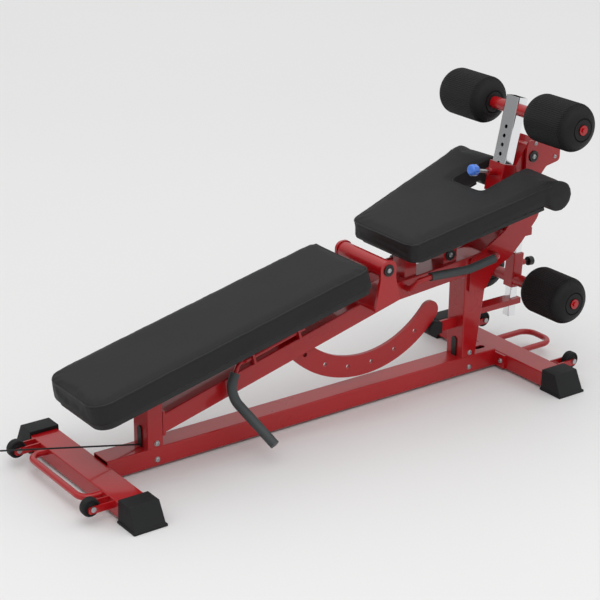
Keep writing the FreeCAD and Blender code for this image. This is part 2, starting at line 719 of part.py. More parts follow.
# ---------------------------------------------------------------- seat
ALONG_SEAT = tilted(size.seat_angle)
ABOVE_SEAT = tilted(size.seat_angle + 90)


def seat_point(along, below):
    offset = ALONG_SEAT * along - ABOVE_SEAT * below
    return size.seat_x + offset.x, size.seat_height + offset.z


def seat_outline(inset, length):
    """The seat seen from above: narrow at the front, wide at the rear, with a rear notch."""
    front = size.seat_front_width / 2 - inset
    rear = size.seat_rear_width / 2 - inset
    notch = size.notch_width / 2 + inset
    deep = size.notch_start - inset
    return rounded([(inset, -front, 45), (length, -rear, 6), (length, -notch, 4),
                    (deep, -notch, 18), (deep, notch, 18), (length, notch, 4),
                    (length, rear, 6), (inset, front, 45)])


def seat():
    x, z = seat_point(0, size.seat_foam / 2)
    parts = [pad("seat_cushion", seat_outline(0, size.seat_length), "Sizes.seat_foam",
                 place(at(x, 0, z), ALONG_SEAT, ABOVE_SEAT))]
    roll_x, roll_z = seat_point(size.seat_length, size.knee_radius)
    for sign in (-1, 1):
        start = at(roll_x, sign * size.notch_width / 2, roll_z)
        parts.append(rod("knee_roll%d" % sign, start, Y * sign, "Sizes.knee_radius",
                         "(Sizes.seat_rear_width - Sizes.notch_width) / 2"))
    keep("seat_pad", fuse("seat_pad_body", parts))

    x, z = seat_point(0, size.seat_foam + size.seat_board / 2)
    keep("seat_board", pad("seat_board_body",
                           seat_outline(14, size.seat_length - size.knee_radius - 8),
                           "Sizes.seat_board", place(at(x, 0, z), ALONG_SEAT, ABOVE_SEAT)))

    under = size.seat_foam + size.seat_board
    rail_height = 26.0
    rail_start, rail_end = 40.0, size.notch_start - 24
    x, z = seat_point(rail_start, under + rail_height / 2)
    parts = [tube("seat_rail", "Sizes.spine_width", str(rail_height), str(rail_end - rail_start),
                  place(at(x, 0, z), Y, ALONG_SEAT))]

    def rail_low(x):
        start_x, start_z = seat_point(0, under + rail_height)
        return start_z + (x - start_x) * math.tan(math.radians(size.seat_angle))

    for name, front, rear in (("front", 1134.0, 1180.0), ("rear", 1292.0, 1346.0)):
        outline = [(front, top_beam_top(front), 0), (rear, top_beam_top(rear), 0),
                   (rear, rail_low(rear), 0), (front, rail_low(front), 0)]
        parts.append(pad("seat_riser_" + name, rounded(outline), "Sizes.spine_width",
                         side_place(0, 0)))
    keep("seat_frame", fuse("seat_frame_weld", parts))


def grabs():
    """A bar on each side under the seat, from the neck forward to the top beam."""
    grips = []
    for side, sign in (("near", -1), ("far", 1)):
        plate = sign * (size.beam_width / 2 + size.neck_thickness)
        out = sign * size.grab_side
        beam_side = sign * size.beam_width / 2
        low = top_beam_top(1136) - 26
        points = [at(1472, plate, 424), at(1472, out, 424), at(1340, out, 405),
                  at(1180, out, 414), at(1136, out, 410), at(1130, out - sign * 34, low),
                  at(1130, beam_side, low)]
        radii = [22, 200, 200, 18, 14]
        shape = bar(points, radii, size.grab_radius)
        keep("grab_handle_" + side, solid("grab_" + side, shape))
        start = points[1] + (points[2] - points[1]) * 0.18
        finish = points[3] + (points[2] - points[3]) * 0.02
        grip = bar([start, points[2], finish], [200], size.grab_grip_radius)
        grips.append(solid("grip_" + side, grip.cut(shape)))
    keep("grab_grips", group("grip_pair", grips))


# ---------------------------------------------------------------- roller arm, post and rollers
UP_POST = tilted(90 - size.post_tilt)
FRONT_OF_POST = tilted(180 - size.post_tilt)
AXLE = at(size.axle_x, 0, size.axle_height)
PIVOT = at(size.pivot_x, 0, size.pivot_height)


def arm():
    """The arm that turns on the neck's bolt and ends in a sleeve round the roller post."""
    bottom = AXLE - UP_POST * size.sleeve_bottom
    width = "Sizes.post_width + 2 * Sizes.slide_gap"
    depth = "Sizes.post_depth + 2 * Sizes.slide_gap"
    length = "Sizes.sleeve_bottom - Sizes.sleeve_top"
    frame = place(bottom, Y, UP_POST)
    wall = 2 * size.sleeve_wall
    outer = pad("sleeve_outer", rectangle_edges(size.post_width + 2 * size.slide_gap + wall,
                                                size.post_depth + 2 * size.slide_gap + wall, 4),
                length, frame, both_ways=False)
    rear = size.post_depth / 2 + size.slide_gap + size.sleeve_wall - 1

    def local(along, up):
        spot = AXLE - FRONT_OF_POST * along + UP_POST * up
        return spot.x - SHIFT, spot.z

    low_x, low_z = local(rear, -size.sleeve_bottom + 34)
    high_x, high_z = local(rear, -size.sleeve_top)
    boss = size.boss_radius
    outline = [(low_x, low_z, 0), (size.pivot_x + boss * 0.4, size.pivot_height - boss, 20),
               (size.pivot_x + boss, size.pivot_height, 24),
               (size.pivot_x + boss * 0.6, size.pivot_height + 36, 14),
               (size.pivot_x - boss * 0.7, size.pivot_height + 40, 10), (high_x, high_z, 0)]
    link = pad("arm_link", rounded(outline), "Sizes.beam_width - 8", side_place(0, 0))
    pin_foot = AXLE - UP_POST * 7 * size.post_hole_pitch
    boss_start = size.post_depth / 2 + size.slide_gap + size.sleeve_wall - 1
    socket = rod("pin_socket", pin_foot + FRONT_OF_POST * boss_start, FRONT_OF_POST, 12, 34)
    bore = pad("sleeve_bore", rectangle_edges(size.post_width + 2 * size.slide_gap,
                                              size.post_depth + 2 * size.slide_gap, 0),
               "4 * (%s)" % length, frame)
    pin_bore = rod("pin_bore", pin_foot, FRONT_OF_POST, "Sizes.pin_radius + %s" % RUN, 90)
    pivot_bore = rod("pivot_bore", PIVOT - Y * 60, Y, "Sizes.pivot_radius + %s" % RUN, 120)
    keep("roller_arm", cut("arm_cut", fuse("arm_weld", [outer, link, socket]),
                           [bore, pin_bore, pivot_bore]))
    half = size.beam_width / 2 + size.neck_thickness
    keep("pivot_bolt", rod("pivot_bolt_body", PIVOT - Y * half, Y, "Sizes.pivot_radius",
                           "Sizes.beam_width + 2 * Sizes.neck_thickness"))


def rectangle_edges(width, height, radius):
    return rounded([(-width / 2, -height / 2, radius), (width / 2, -height / 2, radius),
                    (width / 2, height / 2, radius), (-width / 2, height / 2, radius)])


def roller_post():
    frame = place(AXLE - UP_POST * size.post_below, Y, UP_POST)
    post = tube("roller_tube", "Sizes.post_width", "Sizes.post_depth",
                "Sizes.post_above + Sizes.post_below", frame)
    tools = [rod("axle_bore", AXLE - Y * 60, Y, "Sizes.axle_radius", 120)]
    for number in range(2, 10):
        spot = AXLE - UP_POST * number * size.post_hole_pitch
        tools.append(rod("post_hole%d" % number, spot, FRONT_OF_POST, "Sizes.post_hole_radius",
                         60))
    keep("roller_post", cut("roller_post_cut", post, tools))

    parts = axle_parts("upper", AXLE, size.post_width / 2, size.upper_roller_end)
    through = rod("upper_axle_core", AXLE - Y * 40, Y, "Sizes.axle_radius", 80)
    keep("upper_axle", fuse("upper_axle_turned", parts + [through]))
    for side, sign in (("near", -1), ("far", 1)):
        roller("upper_roller_" + side, AXLE, sign, size.upper_roller_end)

    pin_foot = AXLE - UP_POST * 7 * size.post_hole_pitch
    tip = size.post_depth / 2 + GAP
    length = size.knob_reach - tip
    keep("upper_pop_pin", rod("pop_pin_body", pin_foot + FRONT_OF_POST * tip, FRONT_OF_POST,
                              "Sizes.pin_radius", length - 8))
    knob("upper_knob", pin_foot + FRONT_OF_POST * (size.knob_reach - 8), FRONT_OF_POST,
         size.knob_radius)


def knob(label, start, direction, radius):
    """A round knob with flattened ends, turned about its shaft."""
    depth = 1.7 * radius
    profile = rounded([(0, 0, 0), (radius * 0.55, 0, 3), (radius, depth * 0.35, radius * 0.35),
                       (radius, depth * 0.8, radius * 0.3), (radius * 0.6, depth, radius * 0.2),
                       (0, depth, 0)])
    keep(label, revolve(label + "_body", profile, Placement(start, Rotation(Y, direction))))


def axle_parts(name, centre, inner, outer):
    """Collar, spindle and end bolt on each side of a roller pair."""
    parts = []
    for sign in (-1, 1):
        aim = Y * sign
        collar = size.roller_start - 1 - inner
        parts.append(rod("%s_collar%d" % (name, sign), centre + aim * inner, aim,
                         "Sizes.collar_radius", collar))
        parts.append(rod("%s_spindle%d" % (name, sign), centre + aim * (inner + 1), aim,
                         "Sizes.axle_radius", outer - inner))
        parts.append(rod("%s_washer%d" % (name, sign), centre + aim * (outer + 1), aim, 16, 3))
        parts.append(rod("%s_bolt%d" % (name, sign), centre + aim * (outer + 4), aim, 8, 5))
    return parts


def roller(label, centre, sign, outer):
    """A foam roller with round ends, turning on the axle's spindle."""
    length = outer - size.roller_start
    bore = size.axle_radius + RUN
    profile = rounded([(bore, 0, 0), (size.roller_radius, 0, 26),
                       (size.roller_radius, length, 26), (bore, length, 0)])
    start = centre + Y * sign * size.roller_start
    keep(label, revolve(label + "_foam", profile, Placement(start, Rotation(Y, Y * sign))))


# ---------------------------------------------------------------- guide post and roller carriage
UP_GUIDE = tilted(90 - size.guide_tilt)
REAR_OF_GUIDE = tilted(-size.guide_tilt)
LOWER_AXLE = at(size.guide_x, 0, size.guide_height)


def guide():
    frame = place(LOWER_AXLE - UP_GUIDE * size.guide_below, Y, UP_GUIDE)
    post = tube("guide_tube", "Sizes.guide_side", "Sizes.guide_side",
                "Sizes.guide_above + Sizes.guide_below", frame)
    tools = []
    for number in (-2, -1, 0, 1, 2):
        spot = LOWER_AXLE + UP_GUIDE * (50 + number * size.post_hole_pitch)
        tools.append(rod("guide_hole%d" % number, spot, REAR_OF_GUIDE, "Sizes.guide_hole_radius",
                         40))
    keep("guide_post", cut("guide_post_cut", post, tools))

    side = "Sizes.guide_side"
    socket = block("guide_socket", None, side, side, 400,
                   place(LOWER_AXLE - UP_GUIDE * 150 - Y * size.guide_side / 2
                         - REAR_OF_GUIDE * size.guide_side / 2, REAR_OF_GUIDE, UP_GUIDE))
    again = block("guide_socket_low", None, side, side, 400, socket.Placement)
    spot = LOWER_AXLE + UP_GUIDE * 170
    upper = block("guide_upper", Vector(spot.x - 26, -size.beam_width / 2, spot.z - 14), 52,
                  "Sizes.beam_width", 26)
    low = LOWER_AXLE - UP_GUIDE * 78
    bottom, top = low.z - 10, low.z + 10
    lower = pad("guide_lower", rounded([(rear_post_back(bottom), bottom, 0),
                                        (low.x - SHIFT + 26, bottom, 0),
                                        (low.x - SHIFT + 26, top, 0),
                                        (rear_post_back(top), top, 0)]), "46",
                side_place(0, 0))
    stub = guide_centre().x + size.guide_radius + 2
    front = block("guide_stub", Vector(stub, -5, guide_centre().z - 18),
                  size.rear_post_x + SHIFT - stub, 10, 36)
    keep("guide_brackets", group("guide_bracket_group", [
        cut("guide_upper_cut", upper, [socket]), cut("guide_lower_cut", lower, [again]), front]))


def carriage():
    bore = size.guide_side + 2 * size.slide_gap
    outer = bore + 2 * size.carriage_wall
    frame = place(LOWER_AXLE - UP_GUIDE * size.carriage_below, Y, UP_GUIDE)
    length = "Sizes.carriage_above + Sizes.carriage_below"
    body = pad("carriage_outer", rectangle_edges(outer, outer, 3), length, frame,
               both_ways=False)
    hollow = pad("carriage_bore", rectangle_edges(bore, bore, 0), "4 * (%s)" % length, frame)
    pin_foot = LOWER_AXLE + UP_GUIDE * 50
    socket = rod("lower_socket", pin_foot + REAR_OF_GUIDE * (outer / 2 - 1), REAR_OF_GUIDE, 10,
                 24)
    pin_bore = rod("lower_pin_bore", pin_foot, REAR_OF_GUIDE, "Sizes.lower_pin_radius + %s" % RUN,
                   80)
    parts = axle_parts("lower", LOWER_AXLE, outer / 2 - 1, size.lower_roller_end)
    keep("roller_carriage", cut("carriage_cut", fuse("carriage_weld", [body, socket] + parts),
                                [hollow, pin_bore]))
    for side, sign in (("near", -1), ("far", 1)):
        roller("lower_roller_" + side, LOWER_AXLE, sign, size.lower_roller_end)
    tip = size.guide_side / 2 + GAP
    reach = outer / 2 + 24 + size.pin_travel + 4
    shank = rod("lower_shank", pin_foot + REAR_OF_GUIDE * tip, REAR_OF_GUIDE,
                "Sizes.lower_pin_radius", reach - tip)
    radius = size.lower_knob_radius
    head = rod("lower_head", pin_foot + REAR_OF_GUIDE * reach, REAR_OF_GUIDE,
               "Sizes.lower_knob_radius", 1.2 * radius)
    keep("lower_pop_pin", fuse("lower_pin_turned", [shank, head]))


# ---------------------------------------------------------------- wheels, tow handles, fasteners
def wheels():
    bolts = []
    for end, x, outward in (("front", 0.0, -1), ("rear", size.base_run, 1)):
        for side, sign in (("near", -1), ("far", 1)):
            centre = at(x + outward * size.wheel_reach, sign * size.wheel_side, size.wheel_height)
            half = size.wheel_width / 2
            bore = size.wheel_bolt_radius + RUN
            tread = size.wheel_radius
            profile = rounded([(bore, -half, 0), (11, -half, 0), (13, -half + 3, 0),
                               (tread - 8, -half + 3, 0), (tread - 6, -half, 0),
                               (tread, -half, 4), (tread, half, 4), (tread - 6, half, 0),
                               (tread - 8, half - 3, 0), (13, half - 3, 0), (11, half, 0),
                               (bore, half, 0)])
            label = "wheel_%s_%s" % (end, side)
            keep(label, revolve(label + "_body", profile, Placement(centre, Rotation())))
            outer = half + 2 + size.bracket_thickness
            bolts.append(fuse(label + "_bolt", [
                rod(label + "_shank", centre - Y * (half + 2), Y, "Sizes.wheel_bolt_radius",
                    "Sizes.wheel_width + 4"),
                rod(label + "_head", centre - Y * (outer + 5), Y, 8, 5),
                rod(label + "_neck", centre - Y * outer, Y, 4.9, outer - half),
                rod(label + "_nut", centre + Y * outer, Y, 8, 5),
                rod(label + "_end", centre + Y * half, Y, 4.9, outer - half)]))
    keep("wheel_bolts", group("wheel_bolt_group", bolts))


def tow_handle(label, x, outward, reach, half, bend):
    """A U-shaped round bar on a crossbar's outer face."""
    face = x + outward * size.cross_width / 2
    far = x + outward * reach
    height = size.tow_height
    points = [at(face, -half, height), at(far, -half, height), at(far, half, height),
              at(face, half, height)]
    keep(label, solid(label + "_bar", bar(points, [bend, bend], size.tow_radius)))


def bolt_head(name, spot, direction, radius=8.0, height=6.0):
    thing = fresh("Part::Cylinder", name)
    thing.Radius = radius
    thing.Height = height
    thing.Placement = Placement(spot, Rotation(Z, direction))
    return thing


def fasteners():
    heads = []
    for sign in (-1, 1):
        face = sign * size.beam_width / 2
        for x in (FRONT_POST_REAR - 22, size.rear_post_x + 32):
            for z in (size.floor_gap + 22, BEAM_TOP + 14):
                heads.append(bolt_head("post_bolt", at(x, face, z), Y * sign))
        flange_x = size.base_run - size.cross_width / 2 - size.flange_thickness
        heads.append(bolt_head("flange_bolt", at(flange_x, sign * (size.flange_width / 2 - 18),
                                                 size.floor_gap + 26), X * -1))
        heads.append(bolt_head("stop_bolt_rear",
                               at(size.pivot_x + 96, face + sign * size.neck_thickness,
                                  size.pivot_height - 16), Y * sign, 6, 4))
        heads.append(bolt_head("stop_bolt_top",
                               at(size.pivot_x + 8, face + sign * size.neck_thickness,
                                  size.pivot_height + 42), Y * sign, 6, 4))
    keep("frame_bolts", group("frame_bolt_group", heads))

    caps = []
    for name, spot, aim in (
            ("hinge_near", HINGE - Y * (size.ear_span / 2), Y * -1),
            ("hinge_far", HINGE + Y * (size.ear_span / 2), Y),
            ("neck_near", PIVOT - Y * (size.beam_width / 2 + size.neck_thickness), Y * -1),
            ("neck_far", PIVOT + Y * (size.beam_width / 2 + size.neck_thickness), Y),
            ("riser_near", at(1319, -size.spine_width / 2, 440), Y * -1),
            ("riser_far", at(1319, size.spine_width / 2, 440), Y)):
        disc = bolt_head(name + "_disc", spot, aim, 19, 5)
        centre = bolt_head(name + "_centre", spot, aim, 7, 8)
        caps.append(fuse(name + "_cap", [disc, centre]))
    keep("pivot_caps", group("pivot_cap_group", caps))

    centre = guide_centre()
    nose = rod("guide_nose", centre - Y * 16, Y, "Sizes.guide_radius", 32)
    tail = block("guide_tail", Vector(centre.x, -16, centre.z - 18),
                 "Sizes.guide_radius + 2", 32, 36)
    keep("index_guide", fuse("index_guide_body", [nose, tail]))


# ---------------------------------------------------------------- cord
def cord():
    """The straight cord out of the front post's slot, and the snap hook on its end."""
    out = tilted(180 - size.cord_slope)
    start = at(outlet_face() - 0.6, 0, size.cord_exit)
    length = size.cord_reach / math.cos(math.radians(size.cord_slope))
    finish = start + out * length
    keep("cord", rod("cord_run", start, out, "Sizes.cord_radius", length))
    ferrule = Part.makeCylinder(5, 22, finish, out)
    ring = Part.makeTorus(15, 3, finish + out * 36, Y)
    keep("cord_hook", solid("cord_hook_body", ferrule.fuse(ring)))
    print("cord length", round(length, 1))


def outlet_face():
    return size.front_post_x + 1.5 * size.tube_wall - 4 - 1.5 * size.tube_wall


# ---------------------------------------------------------------- build, check, write
base()
posts()
beams()
hinge()
backrest()
lock()
lever()
seat()
grabs()
arm()
roller_post()
guide()
carriage()
wheels()
tow_handle("front_tow_handle", 0.0, -1, size.front_tow_reach, size.front_tow_half,
           size.front_tow_bend)
tow_handle("rear_tow_handle", size.base_run, 1, size.rear_tow_reach, size.rear_tow_half,
           size.rear_tow_bend)
fasteners()
cord()
doc.recompute()

for thing in doc.Objects:
    if "Invalid" in thing.State or "Error" in thing.State:
        raise RuntimeError("%s (%s) failed: %s" % (thing.Name, thing.Label, thing.State))
os.makedirs("parts", exist_ok=True)
for thing in NODES:
    shape = thing.Shape
    if shape.isNull() or not shape.isValid() or shape.Volume <= 0:
        raise RuntimeError("%s has no valid shape" % thing.Label)
for thing in NODES:
    thing.Shape.exportStep("parts/%s.step" % thing.Label)
print(len(NODES), "nodes written")
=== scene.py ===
"""Looks of the roman chair: upholstery, foam, paint, plating, fasteners, cord and stage.

Metres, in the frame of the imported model.  Each operator makes one piece or a group of like
pieces on top of the loaded model; main() calls them in order.
"""

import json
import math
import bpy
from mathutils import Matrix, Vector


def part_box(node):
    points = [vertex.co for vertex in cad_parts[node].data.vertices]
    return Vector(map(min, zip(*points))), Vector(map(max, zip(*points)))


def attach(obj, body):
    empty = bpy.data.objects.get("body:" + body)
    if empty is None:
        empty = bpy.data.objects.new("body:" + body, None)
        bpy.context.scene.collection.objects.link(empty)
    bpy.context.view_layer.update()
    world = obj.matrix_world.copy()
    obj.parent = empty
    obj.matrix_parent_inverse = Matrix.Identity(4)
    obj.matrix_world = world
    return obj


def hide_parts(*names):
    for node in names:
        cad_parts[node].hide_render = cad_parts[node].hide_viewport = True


bl_info = {
    "name": "Roman chair finishes",
    "version": (1, 0, 0),
    "blender": (4, 5, 0),
    "location": "View3D > Sidebar > Roman chair",
    "description": "Upholsters, paints and stages the roman chair",
    "category": "Object",
}

import bmesh
import bpy
from bpy.props import FloatProperty, FloatVectorProperty, IntProperty, PointerProperty
from mathutils import Matrix, Vector

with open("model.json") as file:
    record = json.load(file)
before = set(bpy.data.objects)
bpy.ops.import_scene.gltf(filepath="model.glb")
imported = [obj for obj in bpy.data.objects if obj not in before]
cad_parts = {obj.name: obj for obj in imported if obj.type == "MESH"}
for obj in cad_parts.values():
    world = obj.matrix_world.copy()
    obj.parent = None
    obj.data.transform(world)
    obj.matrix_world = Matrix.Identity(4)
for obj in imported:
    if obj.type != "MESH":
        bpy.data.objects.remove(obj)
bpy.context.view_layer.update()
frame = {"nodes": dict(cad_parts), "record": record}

X, Y, Z = Vector((1, 0, 0)), Vector((0, 1, 0)), Vector((0, 0, 1))
MERGE = 0.00002         # vertices of the model closer than this are one


def slope(degrees):
    """Unit vector in the XZ plane, the given angle above +X."""
    return Vector((math.cos(math.radians(degrees)), 0, math.sin(math.radians(degrees))))


def linear(code):
    """An sRGB hex colour as linear red, green, blue."""
    values = [int(code[i:i + 2], 16) / 255 for i in (1, 3, 5)]
    return [v / 12.92 if v <= 0.04045 else ((v + 0.055) / 1.055) ** 2.4 for v in values]


def colour(name, code, what):
    return FloatVectorProperty(name=name, description=what, subtype="COLOR", size=3, min=0, max=1,
                               default=linear(code))


def length(name, metres, what):
    return FloatProperty(name=name, description=what, default=metres, min=0, unit="LENGTH")


# ------------------------------------------------------------------------------ settings
class ChairColours(bpy.types.PropertyGroup):
    paint: colour("Frame paint", "#A80B13", "Red powder coat of the frame")
    vinyl: colour("Vinyl", "#262627", "Cover of the back and seat pads")
    foam: colour("Foam", "#202021", "Skin of the leg rollers")
    rubber: colour("Rubber", "#1D1E1F", "Feet, bumper and wheels")
    grip: colour("Grip", "#3C4142", "Foam tube on the handles")
    nylon: colour("Nylon", "#0C0D0D", "Slot blocks and pivot caps")
    knob: colour("Knob", "#4A84EC", "Head of the pop pin")
    floor: colour("Floor", "#E9E9E9", "Studio floor")


class ChairSizes(bpy.types.PropertyGroup):
    voxel: length("Pad voxel", 0.006, "Size of the faces that a pad is remeshed to")
    swell: length("Pad swell", 0.006, "Furthest that a pad's skin is pushed out by its stuffing")
    piping: length("Piping radius", 0.0021, "Half the thickness of the edge piping")
    dome: length("Roller rounding", 0.036, "Rounding at a foam roller's ends")
    bore: length("Roller bore", 0.0145, "Opening round a roller's spindle")
    cord: length("Cord diameter", 0.005, "Thickness of the pull cord")
    steps: IntProperty(name="Cloth steps", description="Steps the pad skins are relaxed for",
                       default=18, min=1)


# ------------------------------------------------------------------------------ modelling helpers
def deselect():
    if bpy.context.object and bpy.context.object.mode != "OBJECT":
        bpy.ops.object.mode_set(mode="OBJECT")
    bpy.ops.object.select_all(action="DESELECT")


def take(piece):
    """Makes a piece the only selected one, in object mode."""
    deselect()
    piece.select_set(True)
    bpy.context.view_layer.objects.active = piece
    return piece


def open_edit(piece, kind="FACE"):
    take(piece)
    bpy.ops.object.mode_set(mode="EDIT")
    bpy.ops.mesh.select_mode(type=kind)
    bpy.ops.mesh.select_all(action="DESELECT")


def close_edit():
    bpy.ops.object.mode_set(mode="OBJECT")


def pick_faces(piece, test):
    """Selects the faces whose centre and normal pass the test."""
    bpy.ops.mesh.select_mode(type="FACE")
    bpy.ops.mesh.select_all(action="DESELECT")
    mesh = bmesh.from_edit_mesh(piece.data)
    for face in mesh.faces:
        face.select_set(bool(test(face.calc_center_median(), face.normal)))
    bmesh.update_edit_mesh(piece.data)


def pick_edges(piece, test):
    """Selects the edges whose two ends both pass the test."""
    bpy.ops.mesh.select_mode(type="EDGE")
    bpy.ops.mesh.select_all(action="DESELECT")
    mesh = bmesh.from_edit_mesh(piece.data)
    for edge in mesh.edges:
        edge.select_set(all(test(vert.co) for vert in edge.verts))
    bmesh.update_edit_mesh(piece.data)


def modify(piece, kind, **settings):
    """Adds a modifier with its settings and applies it."""
    take(piece)
    modifier = piece.modifiers.new(kind.title(), kind)
    for key, value in settings.items():
        setattr(modifier, key, value)
    bpy.ops.object.modifier_apply(modifier=modifier.name)


def smooth(piece, degrees=35):
    take(piece)
    bpy.ops.object.shade_smooth_by_angle(angle=math.radians(degrees))


def stand(piece, origin, axis):
    """Turns a piece's own Z to an axis, moves it to origin and settles both into its mesh."""
    turn = Z.rotation_difference(axis).to_matrix().to_4x4()
    piece.matrix_world = Matrix.Translation(origin) @ turn
    take(piece)
    bpy.ops.object.transform_apply(location=True, rotation=True, scale=True)


def copy_of(piece, name):
    """A copy with its own mesh, lying where the original does and riding on nothing."""
    twin = piece.copy()
    twin.data = piece.data.copy()
    for key in list(twin.keys()):
        del twin[key]
    twin.name = twin.data.name = name
    bpy.context.scene.collection.objects.link(twin)
    twin.parent = None
    twin.hide_render = twin.hide_viewport = False
    twin.matrix_world = Matrix.Identity(4)
    return twin


def merged_copy(node, name):
    """A copy of a CAD node, its doubles merged, to shape further."""
    twin = copy_of(frame["nodes"][node], name)
    twin.data.materials.clear()
    open_edit(twin)
    bpy.ops.mesh.select_all(action="SELECT")
    bpy.ops.mesh.remove_doubles(threshold=MERGE)
    close_edit()
    return twin


def finish_piece(piece, name, body, material, stands_for=()):
    take(piece)
    bpy.ops.object.transform_apply(location=True, rotation=True, scale=True)
    piece.name = piece.data.name = name
    if material:
        piece.data.materials.clear()
        piece.data.materials.append(material)
    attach(piece, body)
    if stands_for:
        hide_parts(*stands_for)
    return piece


def islands(node):
    """Lowest and highest corner of each separate solid in a CAD node."""
    mesh = bmesh.new()
    mesh.from_mesh(frame["nodes"][node].data)
    bmesh.ops.remove_doubles(mesh, verts=mesh.verts, dist=MERGE)
    left = set(mesh.verts)
    found = []
    while left:
        front = [left.pop()]
        corners = []
        while front:
            vert = front.pop()
            corners.append(vert.co.copy())
            for edge in vert.link_edges:
                other = edge.other_vert(vert)
                if other in left:
                    left.remove(other)
                    front.append(other)
        found.append((Vector([min(c[i] for c in corners) for i in range(3)]),
                      Vector([max(c[i] for c in corners) for i in range(3)])))
    mesh.free()
    return sorted(found, key=lambda pair: tuple(pair[0]))


# ------------------------------------------------------------------------------ materials
def node(tree, kind, settings=None, links=None):
    """Adds one shader node with its settings and its incoming links."""
    made = tree.nodes.new(kind)
    for key, value in (settings or {}).items():
        if key in made.inputs:
            made.inputs[key].default_value = value
        else:
            setattr(made, key, value)
    for key, source in (links or {}).items():
        tree.links.new(source, made.inputs[key])
    return made


def rgba(values, factor=1.0):
    return [min(1.0, v * factor) for v in values] + [1.0]


def surface(name, base, grain_mm, bump, rough, spread=0.06, tint=0.12, patch_mm=90, **sockets):
    """A finish with a fine surface grain, a slow change of tone and an uneven gloss."""
    material = bpy.data.materials.new(name)
    material.use_nodes = True
    tree = material.node_tree
    tree.nodes.clear()
    place = node(tree, "ShaderNodeTexCoord").outputs["Object"]
    patch = node(tree, "ShaderNodeTexNoise", {"Scale": 1000 / patch_mm, "Detail": 3.0},
                 {"Vector": place}).outputs["Fac"]
    ramp = node(tree, "ShaderNodeValToRGB", None, {"Fac": patch})
    ramp.color_ramp.elements[0].position = 0.3
    ramp.color_ramp.elements[0].color = rgba(base, 1 - tint)
    ramp.color_ramp.elements[1].position = 0.7
    ramp.color_ramp.elements[1].color = rgba(base, 1 + tint)
    gloss = node(tree, "ShaderNodeMapRange", {"From Min": 0.3, "From Max": 0.7,
                                              "To Min": rough - spread, "To Max": rough + spread},
                 {"Value": patch})
    grain = node(tree, "ShaderNodeTexNoise", {"Scale": 1000 / grain_mm, "Detail": 2.0},
                 {"Vector": place})
    relief = node(tree, "ShaderNodeBump", {"Strength": bump, "Distance": grain_mm / 4000},
                  {"Height": grain.outputs["Fac"]})
    shader = node(tree, "ShaderNodeBsdfPrincipled", sockets,
                  {"Base Color": ramp.outputs["Color"], "Roughness": gloss.outputs["Result"],
                   "Normal": relief.outputs["Normal"]})
    node(tree, "ShaderNodeOutputMaterial", None, {"Surface": shader.outputs["BSDF"]})
    return material


def leathery(name, base, cell_mm, bump, rough, **sockets):
    """A finish with the pebbled cells of embossed vinyl or foam skin."""
    material = surface(name, base, cell_mm * 0.5, bump * 0.4, rough, 0.05, 0.10, 140, **sockets)
    tree = material.node_tree
    shader = [n for n in tree.nodes if n.type == "BSDF_PRINCIPLED"][0]
    place = [n for n in tree.nodes if n.type == "TEX_COORD"][0].outputs["Object"]
    fine = shader.inputs["Normal"].links[0].from_socket
    cells = node(tree, "ShaderNodeTexVoronoi",
                 {"feature": "DISTANCE_TO_EDGE", "Scale": 1000 / cell_mm}, {"Vector": place})
    crease = node(tree, "ShaderNodeMapRange", {"From Min": 0.0, "From Max": 0.12},
                  {"Value": cells.outputs["Distance"]})
    relief = node(tree, "ShaderNodeBump", {"Strength": bump, "Distance": cell_mm / 6000},
                  {"Height": crease.outputs["Result"], "Normal": fine})
    tree.links.new(relief.outputs["Normal"], shader.inputs["Normal"])
    return material


FINISHES = {}


